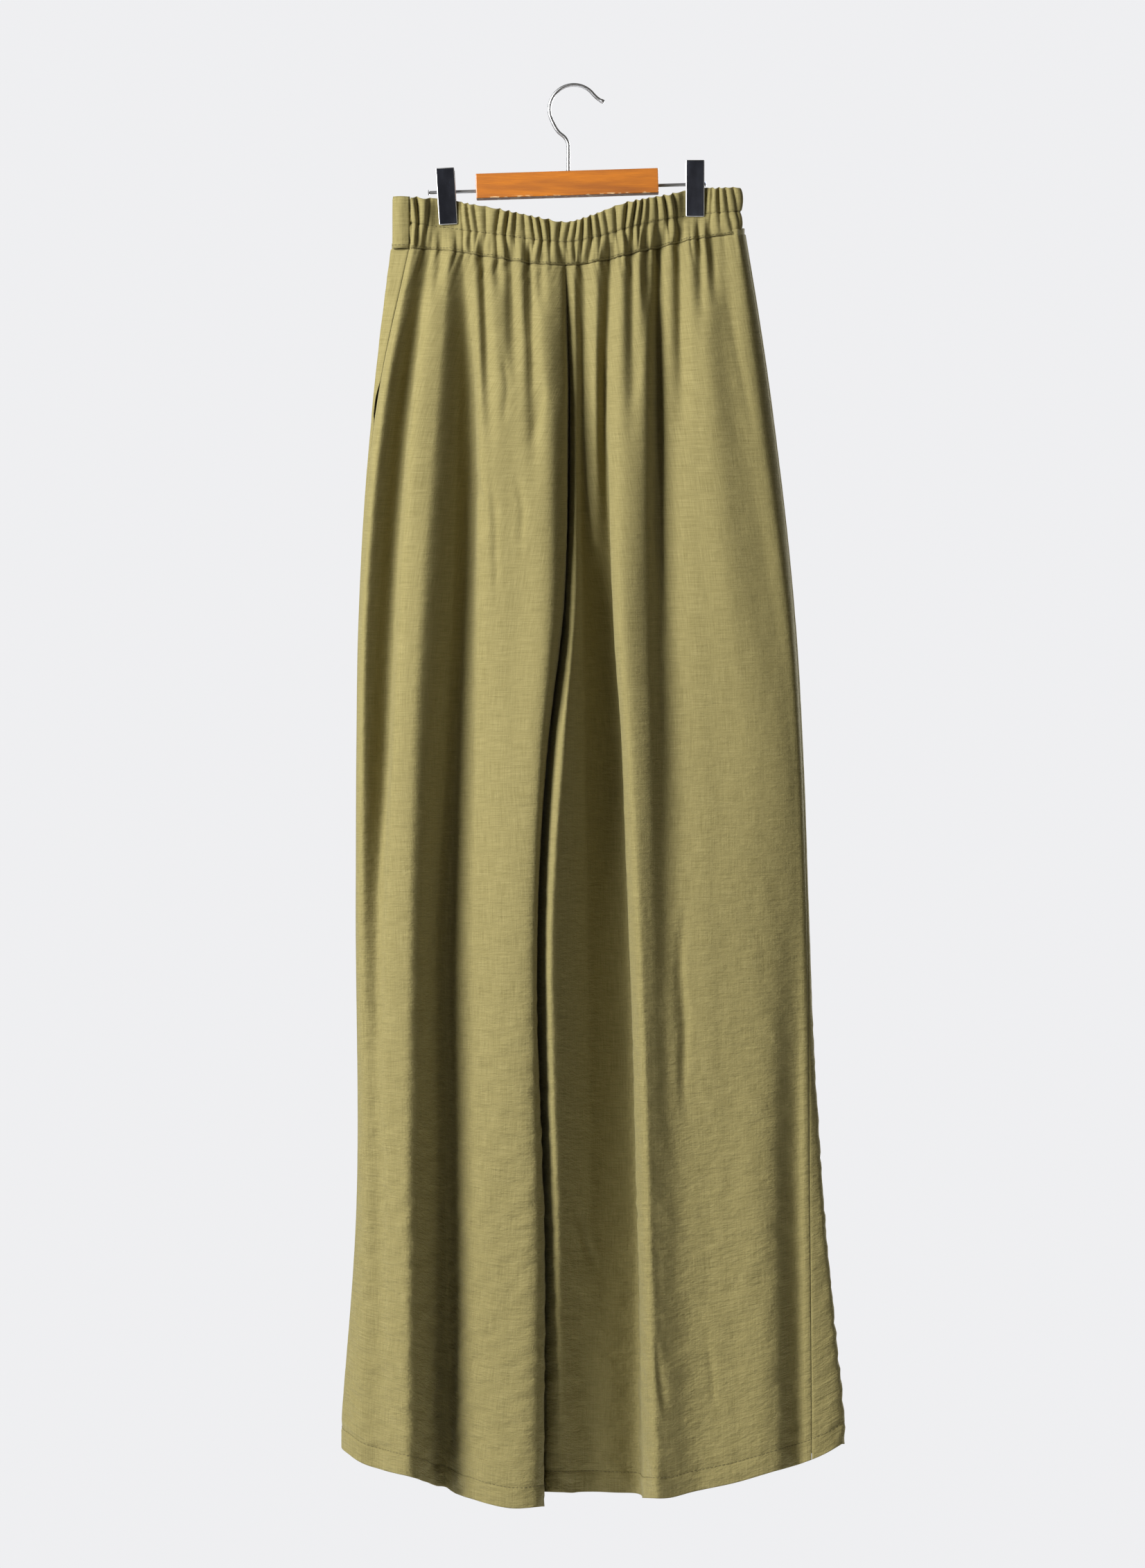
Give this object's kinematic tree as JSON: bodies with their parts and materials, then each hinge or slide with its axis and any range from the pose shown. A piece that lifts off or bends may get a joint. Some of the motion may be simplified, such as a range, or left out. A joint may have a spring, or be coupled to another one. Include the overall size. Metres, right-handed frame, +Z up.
{
  "type": "flared trousers on a clip hanger",
  "caption": "Wide flared trousers with a gathered elastic waistband and side pockets, hung by the waist from a wood-bar clip hanger with a wire hook.",
  "frame": {"origin": "the highest point inside the hook, where a rail carries the hanger", "axes": "+Z up, +X to the viewer's right along the bar, -Y towards the viewer, who sees the back of the trousers"},
  "size_m": [0.397, 0.0847, 1.1315],
  "materials": {
    "cloth": "matt slubby plain weave, olive",
    "wood": "satin varnished, orange brown",
    "chrome": "polished"
  },
  "bodies": {
    "root": {"back_left": "cloth", "back_right": "cloth", "front_left": "cloth", "front_right": "cloth", "pocket_left": "cloth", "pocket_right": "cloth", "waistband_back": "cloth", "waistband_front": "cloth", "bar": "wood", "hook": "chrome", "rod_left": "chrome", "rod_right": "chrome", "clip_left": "chrome", "clip_right": "chrome"}
  },
  "joints": []
}
